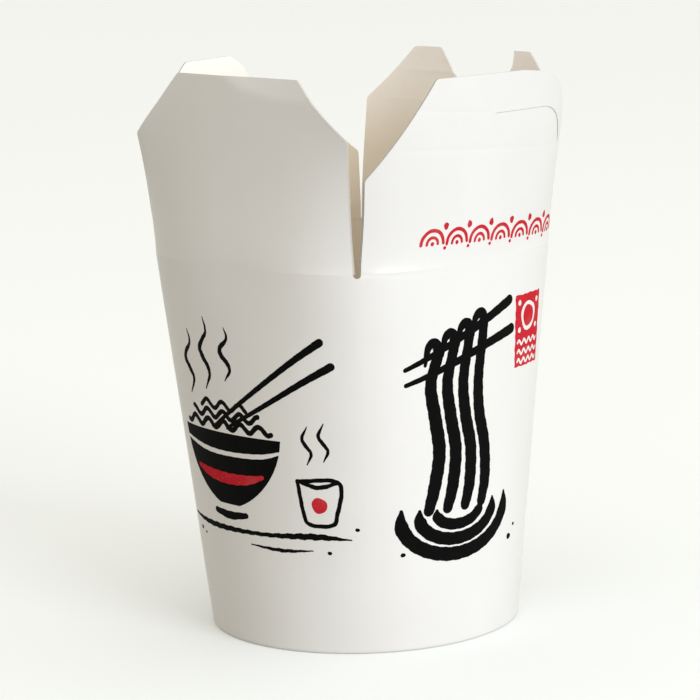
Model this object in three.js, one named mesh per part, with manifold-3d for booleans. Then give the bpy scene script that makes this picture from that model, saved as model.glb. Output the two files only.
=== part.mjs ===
// An open paper noodle pail: a round-based, square-mouthed wall of folded card, a base disc set up
// inside its hemmed rim, and four creased flaps that fold inwards over the mouth.
// Millimetres, +Z up, origin at the centre of the base circle on the surface the pail stands on.
import * as THREE from "three";
import Module from "manifold-3d";
import { mergeVertices } from "three/addons/utils/BufferGeometryUtils.js";

// ---- Driving dimensions ----
const CARD = 0.5; // thickness of the card
const GAP = 0.3; // running gap between two pieces
const BASE_RADIUS = 41; // the base circle, outside the card
const WALL_HEIGHT = 100; // from the rim to the crease of the flaps
const MOUTH_CORNER = 51.9; // from the axis to a corner of the mouth, at the crease, while square
const MOUTH_SQUARENESS = 0.75; // 0 is a circle; nearer 1 the panels are flat and the corners tight
const HEM_HEIGHT = 5.2; // the rim is folded in and up round the skirt of the base
const BASE_HEIGHT = 6.4; // top face of the base disc
const MOUTH_SHIFT = 1.75; // two opposite corners of the mouth stand this far aside of the other two
const STILL_SHARE = 0.3; // where from one pair of corners to the other the wall stays where it was
const SLOT_WIDTH = 2; // the cut between two flaps, with a round end at the crease
const FLAP_HEIGHT = 47.9; // of the tallest flaps, above the crease
const FLAP_SPAN = 50; // the height at which the flaps' lean and bow are given
const WALL_LEAN = 0.06; // how far the wall leans out for each millimetre up, at the crease
const CREASE_EASE = 4; // height over which a flap leaves the wall's direction
const PANEL_STEPS = 18; // facets across one panel
const FLAP_STEPS = 16; // facets across one flap
const AROUND = 4 * PANEL_STEPS;
const QUARTER = Math.PI / 4; // half the turn that one panel makes about the axis

const HALF_MOUTH = MOUTH_CORNER * Math.SQRT1_2; // from the middle of a side to its corner, straight

// One flap for each side of the mouth. turn is the angle about +Z from the side that faces +Y.
// top is how far the flap's middle would stand out from the axis at FLAP_SPAN above the crease, and
// skew how much further its corner at +t stands out there. bowLeft and bowRight are how far its edges
// at -t and +t fall back behind that (below 0 they stand forward), with the power of t that they
// follow. The card runs straight from the crease up to that height.
const FLAPS = {
  plain_flap: {
    turn: Math.PI / 2,
    top: 40,
    skew: -2.4,
    bowLeft: [-1, 5],
    bowRight: [-3.8, 5],
    outline: plainOutline,
  },
  slot_flap: {
    turn: Math.PI,
    top: 54.4,
    skew: -1.9,
    bowLeft: [10.5, 5],
    bowRight: [2.8, 5],
    outline: slotOutline,
  },
  notch_flap: {
    turn: -Math.PI / 2,
    top: 47.1,
    skew: 0.9,
    bowLeft: [1, 3],
    bowRight: [5.5, 5],
    outline: notchOutline,
  },
  tongue_flap: {
    turn: 0,
    top: 56.6,
    skew: 2.5,
    bowLeft: [8.7, 4],
    bowRight: [11, 5],
    outline: tongueOutline,
  },
};

const wasm = await Module();
wasm.setup();

// ---- Geometry helpers ----

function manifoldOf(geometry) {
  const bare = geometry.clone();
  bare.deleteAttribute("normal");
  bare.deleteAttribute("uv");
  const merged = mergeVertices(bare, 1e-4);
  return new wasm.Manifold(
    new wasm.Mesh({
      numProp: 3,
      vertProperties: new Float32Array(merged.attributes.position.array),
      triVerts: new Uint32Array(merged.index.array),
    }),
  );
}

function geometryOf(solid) {
  const mesh = solid.getMesh();
  const geometry = new THREE.BufferGeometry();
  geometry.setAttribute("position", new THREE.BufferAttribute(mesh.vertProperties, 3));
  geometry.setIndex(new THREE.BufferAttribute(mesh.triVerts, 1));
  geometry.computeVertexNormals();
  return geometry;
}

// Two triangles for each cell of a grid of points: rows[i][j], joined along i and j.
// Either direction can close on itself, and flip turns the faces round.
function gridTriangles(index, rows, columns, closeRows, closeColumns, flip) {
  const triangles = [];
  for (let i = 0; i < rows - (closeRows ? 0 : 1); i++)
    for (let j = 0; j < columns - (closeColumns ? 0 : 1); j++) {
      const a = index(i, j);
      const b = index((i + 1) % rows, j);
      const c = index((i + 1) % rows, (j + 1) % columns);
      const d = index(i, (j + 1) % columns);
      triangles.push(...(flip ? [a, c, b, a, d, c] : [a, b, c, a, c, d]));
    }
  return triangles;
}

function indexedGeometry(points, triangles) {
  const geometry = new THREE.BufferGeometry().setFromPoints(points);
  geometry.setIndex(triangles);
  geometry.computeVertexNormals();
  return geometry;
}

// ---- The wall's cross-section ----

// One panel in plan, from its middle (s = 0) to a corner (s = 1): its direction turns by 45 degrees,
// evenly for a circle, and mostly near the corner where it is square.
function panelTurn(s, squareness) {
  return QUARTER * ((1 - squareness) * s + squareness * s ** 3);
}

// How far along and how far back the panel has run at s, for a half panel of length 1.
function panelRun(s, squareness) {
  const steps = 24;
  let along = 0;
  let back = 0;
  for (let k = 0; k < steps; k++) {
    const turn = panelTurn(((k + 0.5) / steps) * s, squareness);
    along += (Math.cos(turn) * s) / steps;
    back += (Math.sin(turn) * s) / steps;
  }
  return { along, back };
}

function squarenessAt(z) {
  return (MOUTH_SQUARENESS * z) / WALL_HEIGHT;
}

function cornerAt(z) {
  return BASE_RADIUS + ((MOUTH_CORNER - BASE_RADIUS) * z) / WALL_HEIGHT;
}

// A point of the outer face at height z and s of the panel (-1 to 1), moved inwards by depth:
// t runs along the panel and n away from the axis.
function panelPoint(s, z, depth) {
  const squareness = squarenessAt(z);
  const corner = cornerAt(z) * Math.SQRT1_2;
  const whole = panelRun(1, squareness);
  const here = panelRun(Math.abs(s), squareness);
  const length = corner / whole.along;
  const turn = panelTurn(s, squareness);
  return {
    t: Math.sign(s) * here.along * length - depth * Math.sin(turn),
    n: corner + (whole.back - here.back) * length - depth * Math.cos(turn),
  };
}

// ---- Pieces ----

// Rings of points that follow the pail's outline, one for each [depth from the outer face, height].
function ringsOf(profile) {
  const points = [];
  for (const [depth, z] of profile)
    for (let k = 0; k < AROUND; k++) {
      const s = (2 * (k % PANEL_STEPS)) / PANEL_STEPS - 1;
      const { t, n } = panelPoint(s, z, depth);
      const turn = (-Math.floor(k / PANEL_STEPS) * Math.PI) / 2;
      const x = t * Math.cos(turn) - n * Math.sin(turn);
      const y = t * Math.sin(turn) + n * Math.cos(turn);
      points.push(new THREE.Vector3(x, y, z));
    }
  return points;
}

// The wall is one strip of card. Its section is a closed loop: up the outside from the rim, down the
// inside, and round the hem that holds the base's skirt.
function wallGeometry() {
  const skirtRoom = CARD + 2 * GAP;
  const heights = [0.4, 8, 20, 33, 46, 59, 72, 84, 93, WALL_HEIGHT];
  const loop = [
    [0.25, 0],
    ...heights.map((z) => [0, z]),
    ...heights.toReversed().map((z) => [CARD, Math.max(z, CARD)]),
    [CARD + skirtRoom, CARD],
    [CARD + skirtRoom, HEM_HEIGHT],
    [2 * CARD + skirtRoom, HEM_HEIGHT],
    [2 * CARD + skirtRoom, 0.25],
    [2 * CARD + skirtRoom - 0.25, 0],
  ];
  const triangles = gridTriangles((i, j) => i * AROUND + j, loop.length, AROUND, true, true, false);
  return geometryOf(slotEndsCut(manifoldOf(indexedGeometry(ringsOf(loop), triangles))));
}

// The round ends of the four slots bite half a slot's width into the wall's top edge.
function slotEndsCut(wall) {
  let cut = wall;
  for (let k = 0; k < 4; k++) {
    const end = new THREE.CylinderGeometry(SLOT_WIDTH / 2, SLOT_WIDTH / 2, 12, 24);
    end.translate(0, MOUTH_CORNER, 0);
    end.rotateZ(QUARTER + (k * Math.PI) / 2);
    end.translate(0, 0, WALL_HEIGHT);
    cut = cut.subtract(manifoldOf(end));
  }
  return cut;
}

// The base: a disc with its edge turned down into a skirt, which sits in the fold of the rim.
function baseGeometry() {
  const outside = CARD + GAP;
  const inside = outside + CARD;
  const under = BASE_HEIGHT - CARD;
  const profile = [
    [inside + 0.3, under],
    [inside, under - 0.3],
    [inside, outside],
    [outside, outside],
    [outside, under],
    [outside + 0.15, BASE_HEIGHT - 0.15],
    [outside + 0.5, BASE_HEIGHT],
  ];
  const points = ringsOf(profile);
  const lower = points.push(new THREE.Vector3(0, 0, under)) - 1;
  const upper = points.push(new THREE.Vector3(0, 0, BASE_HEIGHT)) - 1;
  const lastRing = (profile.length - 1) * AROUND;
  const triangles = gridTriangles((i, j) => i * AROUND + j, profile.length, AROUND, false, true, false);
  for (let k = 0; k < AROUND; k++) {
    const next = (k + 1) % AROUND;
    triangles.push(lower, k, next, upper, lastRing + next, lastRing + k);
  }
  return indexedGeometry(points, triangles);
}

// The wall's middle stands out past the straight line between two corners by this much at the crease.
const WALL_BOW = (panelRun(1, MOUTH_SQUARENESS).back / panelRun(1, MOUTH_SQUARENESS).along) * HALF_MOUTH;

// How far out the flap's outer face stands, at t along it and h above the crease: it starts on the
// wall's own curve and in the wall's direction, and soon takes the flap's lean.
function flapFace(flap, t, h) {
  const share = Math.min(Math.abs(t) / HALF_MOUTH, 1.15);
  const [bow, power] = t < 0 ? flap.bowLeft : flap.bowRight;
  const crease = HALF_MOUTH + WALL_BOW * (1 - 0.42 * share ** 2 - 0.58 * share ** 4);
  const reach = flap.top + (flap.skew * t) / HALF_MOUTH - bow * share ** power;
  const lean = (reach - crease) / FLAP_SPAN;
  return crease + lean * h + (WALL_LEAN - lean) * CREASE_EASE * (1 - Math.exp(-h / CREASE_EASE));
}

// A bowed sheet of card over the whole of a flap's side, before its outline is cut.
function flapSheet(flap) {
  const halfWidth = 41.5;
  const heights = [GAP, 1.5, 3, 5, 8, 12, 17, 23, 30, 38, FLAP_HEIGHT + 1];
  const columns = FLAP_STEPS + 1;
  const outer = [];
  const inner = [];
  for (const h of heights)
    for (let j = 0; j < columns; j++) {
      const t = halfWidth * ((2 * j) / FLAP_STEPS - 1);
      const step = 0.05;
      const slopeT = (flapFace(flap, t + step, h) - flapFace(flap, t - step, h)) / (2 * step);
      const slopeH = (flapFace(flap, t, h + step) - flapFace(flap, t, h - step)) / (2 * step);
      const inwards = new THREE.Vector3(slopeT, -1, h > GAP ? slopeH : 0).setLength(CARD);
      const point = new THREE.Vector3(t, flapFace(flap, t, h), h);
      outer.push(point);
      inner.push(point.clone().add(inwards));
    }
  const rows = heights.length;
  const count = rows * columns;
  const triangles = [
    ...gridTriangles((i, j) => i * columns + j, rows, columns, false, false, false),
    ...gridTriangles((i, j) => count + i * columns + j, rows, columns, false, false, true),
  ];
  const border = [];
  for (let j = 0; j < columns; j++) border.push(j);
  for (let i = 1; i < rows; i++) border.push(i * columns + columns - 1);
  for (let j = columns - 2; j >= 0; j--) border.push((rows - 1) * columns + j);
  for (let i = rows - 2; i > 0; i--) border.push(i * columns);
  border.forEach((a, k) => {
    const b = border[(k + 1) % border.length];
    triangles.push(a, b, count + b, a, count + b, count + a);
  });
  return manifoldOf(indexedGeometry([...outer, ...inner], triangles));
}

// ---- Flap outlines, in t along the flap and h above the crease ----

const SIDE_FOOT = [HALF_MOUTH - (SLOT_WIDTH / 2) * Math.SQRT1_2, GAP]; // beside a slot's round end

function shapeOf(points) {
  return new THREE.Shape(points.map(([t, h]) => new THREE.Vector2(t, h)));
}

function leftOf(half) {
  return half.toReversed().map(([t, h]) => [-t, h]);
}

function plainOutline() {
  const right = [SIDE_FOOT, [38.6, 31.9], [21.8, FLAP_HEIGHT]];
  const left = [SIDE_FOOT, [38.2, 33.5], [21.8, FLAP_HEIGHT]];
  return shapeOf([...right, ...leftOf(left)]);
}

// The locking slit of this flap: a straight cut with a round hook at its outer end.
function slotOutline() {
  const right = [SIDE_FOOT, [36.4, 12], [37.8, 23.7], [21.8, FLAP_HEIGHT]];
  const left = [SIDE_FOOT, [37.8, 24], [27, 41.2], [22.9, 45.3], [15.5, 46.9], [9, 47.6]];
  const shape = shapeOf([...right, ...leftOf(left)]);
  const half = 0.4;
  const height = 37.5;
  const radius = 11.5;
  const inner = 0;
  const outer = -18.5;
  const hookEnd = Math.PI * 0.97;
  const slit = new THREE.Path();
  slit.moveTo(inner, height - half);
  slit.lineTo(inner, height + half);
  slit.lineTo(outer, height + half);
  slit.absarc(outer, height - radius, radius + half, Math.PI / 2, hookEnd, false);
  slit.absarc(outer, height - radius, radius - half, hookEnd, Math.PI / 2, true);
  shape.holes.push(slit);
  return shape;
}

// A wide round-bottomed notch in the top edge, a little off the middle.
function notchOutline() {
  const right = [SIDE_FOOT, [37, 33], [21.9, FLAP_HEIGHT]];
  const left = [SIDE_FOOT, [37, 33.6], [21.9, FLAP_HEIGHT]];
  const shape = new THREE.Shape();
  right.forEach(([t, h], k) => (k ? shape.lineTo(t, h) : shape.moveTo(t, h)));
  shape.lineTo(16, FLAP_HEIGHT);
  shape.quadraticCurveTo(16, 44, 14.3, 42.2);
  shape.bezierCurveTo(10.5, 36.2, -2.5, 35.4, -7.6, 41);
  shape.lineTo(-12.2, FLAP_HEIGHT);
  leftOf(left).forEach(([t, h]) => shape.lineTo(t, h));
  return shape;
}

// Sloping shoulders that rise to a narrow tongue with clipped corners, set a little off the middle.
function tongueOutline() {
  const right = [SIDE_FOOT, [36.9, 21], [15.5, 38], [12.8, 41], [11.5, 44.1], [7.3, 47]];
  const left = [SIDE_FOOT, [37.5, 20.2], [15, 38], [13.2, 41], [12.6, 43.8], [9, 46.7]];
  return shapeOf([...right, ...leftOf(left)]);
}

// Sets a piece off square, by nothing at the foot and by the full amount from the crease up: the
// -X -Y and +X +Y corners move aside one way, and the other two a little the other way.
function setOffSquare(geometry) {
  const at = geometry.attributes.position;
  for (let i = 0; i < at.count; i++) {
    const [x, y, z] = [at.getX(i), at.getY(i), at.getZ(i)];
    const cornerShare = (x + y) ** 2 / (2 * (x ** 2 + y ** 2) || 1);
    const rise = Math.min(z / WALL_HEIGHT, 1);
    const aside = MOUTH_SHIFT * Math.SQRT1_2 * rise * (cornerShare - STILL_SHARE);
    at.setXYZ(i, x + aside, y - aside, z);
  }
  geometry.computeVertexNormals();
  return geometry;
}

function flapGeometry(flap) {
  const prism = new THREE.ExtrudeGeometry(flap.outline(), {
    depth: 40,
    bevelEnabled: false,
    curveSegments: 8,
  });
  prism.rotateX(Math.PI / 2);
  prism.translate(0, 66, 0);
  const geometry = geometryOf(flapSheet(flap).intersect(manifoldOf(prism)));
  geometry.rotateZ(flap.turn);
  geometry.translate(0, 0, WALL_HEIGHT);
  return geometry;
}

// ---- Assembly ----

const outsideCard = new THREE.MeshStandardMaterial({ color: 0xf5f3ef, roughness: 0.45, metalness: 0 });
const insideCard = new THREE.MeshStandardMaterial({ color: 0xefece6, roughness: 0.55, metalness: 0 });

function piece(name, geometry, material) {
  const mesh = new THREE.Mesh(setOffSquare(geometry), material);
  mesh.name = name;
  return mesh;
}

const pail = new THREE.Group();
pail.add(piece("wall", wallGeometry(), outsideCard));
pail.add(piece("base", baseGeometry(), insideCard));
for (const [name, flap] of Object.entries(FLAPS)) pail.add(piece(name, flapGeometry(flap), outsideCard));

export default pail;
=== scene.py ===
"""Looks of an open paper noodle pail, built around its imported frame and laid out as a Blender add-on."""

import math
from functools import partial

import bpy
import numpy as np
from mathutils import Matrix, Vector
from mathutils.geometry import delaunay_2d_cdt


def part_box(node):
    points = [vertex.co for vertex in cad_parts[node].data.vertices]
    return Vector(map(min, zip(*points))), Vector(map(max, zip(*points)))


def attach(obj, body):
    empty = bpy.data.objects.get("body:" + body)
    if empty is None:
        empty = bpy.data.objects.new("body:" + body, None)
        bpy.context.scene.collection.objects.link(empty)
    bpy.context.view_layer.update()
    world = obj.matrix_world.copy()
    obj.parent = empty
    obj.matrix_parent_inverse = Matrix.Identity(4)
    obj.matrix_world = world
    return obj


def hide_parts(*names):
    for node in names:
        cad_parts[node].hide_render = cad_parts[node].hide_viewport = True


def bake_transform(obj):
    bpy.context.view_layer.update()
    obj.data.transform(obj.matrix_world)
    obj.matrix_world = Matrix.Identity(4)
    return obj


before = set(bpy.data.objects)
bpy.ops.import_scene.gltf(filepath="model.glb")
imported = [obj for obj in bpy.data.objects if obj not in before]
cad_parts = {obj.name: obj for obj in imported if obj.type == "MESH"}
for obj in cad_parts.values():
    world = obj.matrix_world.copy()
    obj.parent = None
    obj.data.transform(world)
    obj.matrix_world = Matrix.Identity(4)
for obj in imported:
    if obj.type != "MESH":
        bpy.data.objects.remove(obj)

bl_info = {
    "name": "Noodle pail",
    "version": (1, 0, 0),
    "blender": (4, 5, 0),
    "location": "3D View > Sidebar > Noodle pail",
    "description": "Builds an open paper noodle pail: its card wall, base, flaps and print",
    "category": "Object",
}

MM = 0.001


def frame_level(node, end):
    """The height of a node's lowest (0) or highest (1) point in the frame, in millimetres."""
    return round(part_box(node)[end][2] / MM, 3)


# Places on a side of the pail: a runs to the right along the outside from the side's middle, as one
# who faces it sees it. Z runs up from the floor and h from the crease. Depth is how far a point lies
# behind the card's outer face.

# ---- The pail's shape, in millimetres, as its solids have it ----

WALL_HEIGHT = frame_level("wall", 1)  # up to the crease of the flaps
BASE_HEIGHT = frame_level("base", 1)
SKIRT_FOOT = frame_level("base", 0)  # how far down the base's edge is turned
FLAP_HEIGHT = round(frame_level("slot_flap", 1) - WALL_HEIGHT, 3)
CARD = 0.5
BASE_RADIUS = 41.0
MOUTH_CORNER = 51.9  # from the axis to a corner of the mouth, before its shift
MOUTH_SQUARENESS = 0.75  # 0 is a circle; nearer 1 the sides are flat and the corners tight
MOUTH_SHIFT = 1.75  # two opposite corners of the mouth stand this far aside of the other two
STILL_SHARE = 0.3  # where from one pair of corners to the other the wall stays where it was
HALF_MOUTH = MOUTH_CORNER * math.sqrt(0.5)
EIGHTH = math.pi / 4
HEM_HEIGHT = 5.2
SKIRT_GAP = 0.3  # on both sides of the base's skirt, inside the hem
SLOT_HALF = 1.0  # half the cut between two flaps, which has a round end at the crease
FOOT = HALF_MOUTH - SLOT_HALF * math.sqrt(0.5)  # half a flap's width at its foot

FLAP_SPAN = 50.0  # the height at which the flaps' lean and bow are given
WALL_LEAN = 0.06  # how far the wall leans out for each millimetre up, at the crease
CREASE_EASE = 4.0  # height over which a flap leaves the wall's direction
CREASE_BOW = (0.42, 0.58)  # shares of the crease's bow that go with the square and the fourth power
BOW_END = 1.15  # the share of half the mouth past which a flap falls back no further
MEET_EASE = 1.5  # height over which a flap's foot leaves the wall's rounder section

# Each side of the mouth: its turn about +Z from the side that faces +Y, how deep its crease is
# pressed, and its flap's lean and bow. "top" is how far its middle would stand out at FLAP_SPAN above
# the crease, and "skew" how much further its left edge does. "right" and "left" are how far its edges
# fall back behind that, and the power with which they do.
SIDES = {
    "plain": {
        "turn": math.pi / 2, "crease": 0.03, "top": 40, "skew": -2.4, "right": (-1, 5), "left": (-3.8, 5),
    },
    "slot": {
        "turn": math.pi, "crease": 0.12, "top": 54.4, "skew": -1.9, "right": (10.5, 5), "left": (2.8, 5),
    },
    "notch": {
        "turn": -math.pi / 2, "crease": 0.1, "top": 47.1, "skew": 0.9, "right": (1, 3), "left": (5.5, 5),
    },
    "tongue": {
        "turn": 0.0, "crease": 0.1, "top": 56.6, "skew": 2.5, "right": (8.7, 4), "left": (11, 5),
    },
}

# ---- Relief and clearances that only the scene has, in millimetres ----

CLOSED_SLOT_HALF = 0.05  # at the corner of the tongue and notch sides, whose flaps nearly meet
CLOSED_ENDS = {"tongue": -1, "notch": 1}  # the left end of the one side and the right of the other
NEAR_FOOT = FOOT - 0.15  # at the corner of the plain and slot sides, whose flaps stand further apart

WAVE = 0.1  # depth of the long waves of hand-folded card
RIPPLE = 0.02
EVEN_HEIGHT = 10.0  # below this the card is even, and over EVEN_RUN above it the waves come in
EVEN_RUN = 15.0

CREASE_SAG = 1.5  # how much lower the pressed line of the crease lies in its middle
CREASE_WIDTH = 0.4
CREASE_MIDDLE = 0.4  # the share of its depth that it has there

SEAM_SIDE = "notch"
SEAM_AT = -26.0  # where the outer end of the wall's strip lies over the inner
SEAM_LAP = 11.0
SEAM_STEP = 0.3
SEAM_FADE = 7.0  # run over which the step sinks to about a third
SEAM_FOOT = 1.2  # it is pressed flat below this and above SEAM_TOP
SEAM_TOP = WALL_HEIGHT - 1
SEAM_EASE = 1.5  # height under SEAM_TOP over which it comes in

SLIT_HEIGHT = 37.5  # the locking slit runs level from the middle of the slot flap to SLIT_END
SLIT_END = 18.5
SLIT_RADIUS = 11.5  # of the hook that it ends in
HOOK_STOP = 5.4  # degrees above level at which the hook stops
SLIT_LIP = 0.13  # how far the card below the slit is pushed in
LIP_REACH = 3.5  # run below the slit over which that sinks to about a third
LIP_START = 8.0  # run over which it comes in from the slit's inner end
LIP_STOP = 4.0  # height over which it ends at the hook

# The top right corner of the plain flap is bent in, beyond a line that falls from BEND_RISE above
# BEND_HEIGHT at BEND_START, and comes near BEND_HEIGHT to the right.
BEND_HEIGHT = 42.0
BEND_RISE = 5.25
BEND_START = -3.25
BEND_RUN = 8.5  # run over which the line has fallen two thirds of its rise
BEND_SLOPE = 0.2  # how far the card leans in for each millimetre beyond the line
BEND_EASE = 0.3  # square of the distance over which the lean sets in
BEND_FADE = 8.0  # run left of the flap's middle over which the bend comes in

SCORE_WIDTH = 0.5
SCORE_FADE = 12  # a score line comes in and goes over this part of its length: a twelfth
SCORES = {  # each flap's score lines: where they start and end, and their depth
    "slot": [((-27, 40.4), (-0.5, 37.6), 0.05), ((-34, 31.0), (34, 26.1), 0.05)],
    "notch": [((-27, 41.4), (27, 41.4), 0.08), ((-36, 32.8), (36, 33.4), 0.05)],
    "plain": [],
    "tongue": [((-30, 27.5), (30, 27.5), 0.05)],
}

# ---- Print, in millimetres: places are (a, z) on a side of the wall ----

INK_ROOT = 0.06  # how deep the ink's film reaches into the card
LEAST_STROKE = 0.12  # a stroke of the brush is never thinner
BOWL_MIDDLE = -5.5
BOWL_RIM = 56.0
BOWL_FOOT = 37.0
# Wisps of steam: (aside, share of the way up, width)
TALL_WISP = ((0, 0, 0.3), (2.0, 0.25, 1.2), (-1.4, 0.55, 1.5), (1.5, 0.8, 0.9), (0.6, 1, 0.25))
SHORT_WISP = ((0, 0, 0.3), (1.3, 0.3, 0.9), (-0.9, 0.65, 1.0), (0.7, 1, 0.25))
NEST_MIDDLE = (-7.0, 36.0)
STAMP_LOW, STAMP_HIGH = (14.6, 69.5), (28.0, 88.5)
SUN_MIDDLE = (21.3, 82.6)
SUN_OUTER, SUN_INNER = 3.9, 2.8  # radii of the round that is left clear and of the sun in it
BORDER_PITCH = 8.3  # from one half-round wave to the next
BORDER_COUNT = 7
BORDER_START = -18.0  # the middle of the first wave

# ---- Stage, in metres ----

FLOOR_HALF = 8.0  # half its width
LIT_HEIGHT = 0.08  # of the point on the pail's axis that the key light faces
AIM_HEIGHT = 0.075  # of the point on the axis that the camera faces, before its shift
LENS = 156.28  # the camera's focal length in millimetres
SENSOR = 36.0  # the width of its sensor in millimetres
SHIFT = (-0.0101, -0.0173)  # of its view, as shares of the width
ROLL = math.radians(-1.817)

# ---- Surfaces ----

PANEL_STEPS = 24  # in which the run of a half side is summed up
MOUTH_STEPS = 400  # places at which the mouth's line is known


def panel_turn(s, square):
    """How far the wall's section has turned at s, from the middle (0) to a corner (1) of a side."""
    return EIGHTH * ((1 - square) * s + square * s**3)


def panel_run(s, square):
    """How far along and how far back a half side of length 1 has run at s."""
    s, square = np.broadcast_arrays(np.asarray(s, float), np.asarray(square, float))
    steps = (np.arange(PANEL_STEPS) + 0.5) / PANEL_STEPS
    turn = panel_turn(s[..., None] * steps, square[..., None])
    return np.cos(turn).mean(-1) * s, np.sin(turn).mean(-1) * s


def corner_reach(z):
    """How far across and out from the axis the corners of the section at height z lie."""
    return (BASE_RADIUS + (MOUTH_CORNER - BASE_RADIUS) * z / WALL_HEIGHT) * math.sqrt(0.5)


def half_side(z):
    """Half the girth of one side at height z."""
    along, _ = panel_run(np.ones_like(z), MOUTH_SQUARENESS * z / WALL_HEIGHT)
    return corner_reach(z) / along


def set_round(side, across, out, z):
    """Turns points from a side's own across and outwards directions into the pail's x, y and z.

    The mouth is a little off square: the -X -Y and +X +Y corners stand aside of the other two.
    """
    turn = SIDES[side]["turn"]
    x = across * math.cos(turn) - out * math.sin(turn)
    y = across * math.sin(turn) + out * math.cos(turn)
    corner_share = (x + y) ** 2 / (2 * (x**2 + y**2))
    rise = np.minimum(z / WALL_HEIGHT, 1)
    aside = MOUTH_SHIFT * math.sqrt(0.5) * rise * (corner_share - STILL_SHARE)
    return np.stack([x + aside, y - aside, z], -1)


def section_point(side, a, z, depth):
    """The wall's own section at height z, before the card's unevenness."""
    square = MOUTH_SQUARENESS * z / WALL_HEIGHT
    length = half_side(z)
    s = np.clip(-a / length, -1, 1)
    _, whole_back = panel_run(np.ones_like(z), square)
    along, back = panel_run(np.abs(s), square)
    turn = panel_turn(s, square)
    across = np.sign(s) * along * length - depth * np.sin(turn)
    out = corner_reach(z) + (whole_back - back) * length - depth * np.cos(turn)
    return set_round(side, across, out, z)


def card_wave(points):
    """The slight unevenness of card that was folded and glued by hand: how far it is pressed in."""
    x, y, z = points[..., 0], points[..., 1], points[..., 2]
    wave = np.sin(0.085 * x + 0.05 * z + 1.0) * np.sin(0.074 * y - 0.043 * z + 0.4)
    ripple = np.sin(0.19 * x - 0.12 * z) * np.sin(0.16 * y + 0.1 * z + 2.0)
    return (WAVE * (1 + wave) + RIPPLE * (1 + ripple)) * np.clip((z - EVEN_HEIGHT) / EVEN_RUN, 0, 1)


def seam_relief(side, a, z, inner):
    """The wall's strip is lapped and glued: it stands proud outside at one edge, inside at the other."""
    if side != SEAM_SIDE:
        return np.zeros_like(a)
    fade = np.clip((SEAM_TOP - z) / SEAM_EASE, 0, 1) * np.clip(z - SEAM_FOOT, 0, 1)
    past = a - SEAM_AT
    if inner:
        under = SEAM_LAP - past
        return np.where(under > 0, SEAM_STEP * np.exp(-under / SEAM_FADE), 0) * fade
    return np.where(past > 0, -SEAM_STEP * np.exp(-past / SEAM_FADE), 0) * fade


def crease_relief(side, a, h):
    """The pressed line of the crease: deepest at its ends, and a little lower in its middle."""
    sag = CREASE_SAG * (1 - (a / HALF_MOUTH) ** 2)
    depth = SIDES[side]["crease"] * (CREASE_MIDDLE + (1 - CREASE_MIDDLE) * (a / HALF_MOUTH) ** 4)
    return depth * np.exp(-(((h + sag) / CREASE_WIDTH) ** 2))


def wall_point(side, a, z, depth, inner=False):
    """Points of the finished wall, in millimetres. Inner says that they are on its inner face."""
    flat = section_point(side, a, z, 0.0)
    pressed = card_wave(flat) + crease_relief(side, a, z - WALL_HEIGHT) + seam_relief(side, a, z, inner)
    return section_point(side, a, z, depth + pressed)


def mouth_line():
    """Half a side of the mouth: its length, and its points across and out, from middle to corner."""
    along, back = panel_run(np.linspace(0, 1, MOUTH_STEPS), MOUTH_SQUARENESS)
    length = HALF_MOUTH / along[-1]
    return length, along * length, HALF_MOUTH + (back[-1] - back) * length


MOUTH_LENGTH, MOUTH_ACROSS, MOUTH_OUT = mouth_line()
WALL_BOW = MOUTH_OUT[0] - HALF_MOUTH


def flap_face(side, t, h):
    """How far out a flap's outer face stands, at t across it and h above the crease."""
    shape = SIDES[side]
    share = np.minimum(np.abs(t) / HALF_MOUTH, BOW_END)
    right, left = (shape[edge][0] * share ** shape[edge][1] for edge in ("right", "left"))
    crease = HALF_MOUTH + WALL_BOW * (1 - CREASE_BOW[0] * share**2 - CREASE_BOW[1] * share**4)
    reach = shape["top"] + shape["skew"] * t / HALF_MOUTH - np.where(t < 0, right, left)
    lean = (reach - crease) / FLAP_SPAN
    face = crease + lean * h + (WALL_LEAN - lean) * CREASE_EASE * (1 - np.exp(-h / CREASE_EASE))
    meets_wall = np.interp(np.abs(t), MOUTH_ACROSS, MOUTH_OUT) - np.maximum(crease, HALF_MOUTH)
    return face + meets_wall * np.exp(-h / MEET_EASE)


def along_line(a, h, start, end):
    """Distance from the line through start and end, and the share of the way along it."""
    direction = np.array(end, float) - start
    length = np.hypot(*direction)
    direction /= length
    da, dh = a - start[0], h - start[1]
    return da * -direction[1] + dh * direction[0], (da * direction[0] + dh * direction[1]) / length


def scored(a, h, start, end, depth):
    """A pressed score line."""
    off, way = along_line(a, h, start, end)
    ends = np.clip(way * SCORE_FADE, 0, 1) * np.clip((1 - way) * SCORE_FADE, 0, 1)
    return depth * np.exp(-((off / SCORE_WIDTH) ** 2)) * ends


def slit_lip(a, h):
    """The card below the locking slit and inside its hook is pushed in, most of all at the cut."""
    below = SLIT_HEIGHT - h
    straight = (a > 0) & (a < SLIT_END) & (below > 0)
    lip = np.where(straight, SLIT_LIP * np.exp(-below / LIP_REACH) * np.clip(a / LIP_START, 0, 1), 0)
    hook_foot = SLIT_HEIGHT - SLIT_RADIUS
    from_centre = np.hypot(a - SLIT_END, h - hook_foot)
    inside = (a >= SLIT_END) & (from_centre < SLIT_RADIUS) & (h > hook_foot)
    rim = SLIT_LIP * np.exp((from_centre - SLIT_RADIUS) / LIP_REACH)
    return lip + np.where(inside, rim * np.clip((h - hook_foot) / LIP_STOP, 0, 1), 0)


def bent_corner(a, h):
    """The lean of the plain flap's top right corner beyond its bend."""
    beyond = np.maximum(h - BEND_HEIGHT - BEND_RISE * np.exp(-(a - BEND_START) / BEND_RUN), 0)
    eased = np.sqrt(beyond**2 + BEND_EASE) - math.sqrt(BEND_EASE)
    return BEND_SLOPE * eased * np.clip((a + BEND_FADE) / BEND_FADE, 0, 1)


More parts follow.
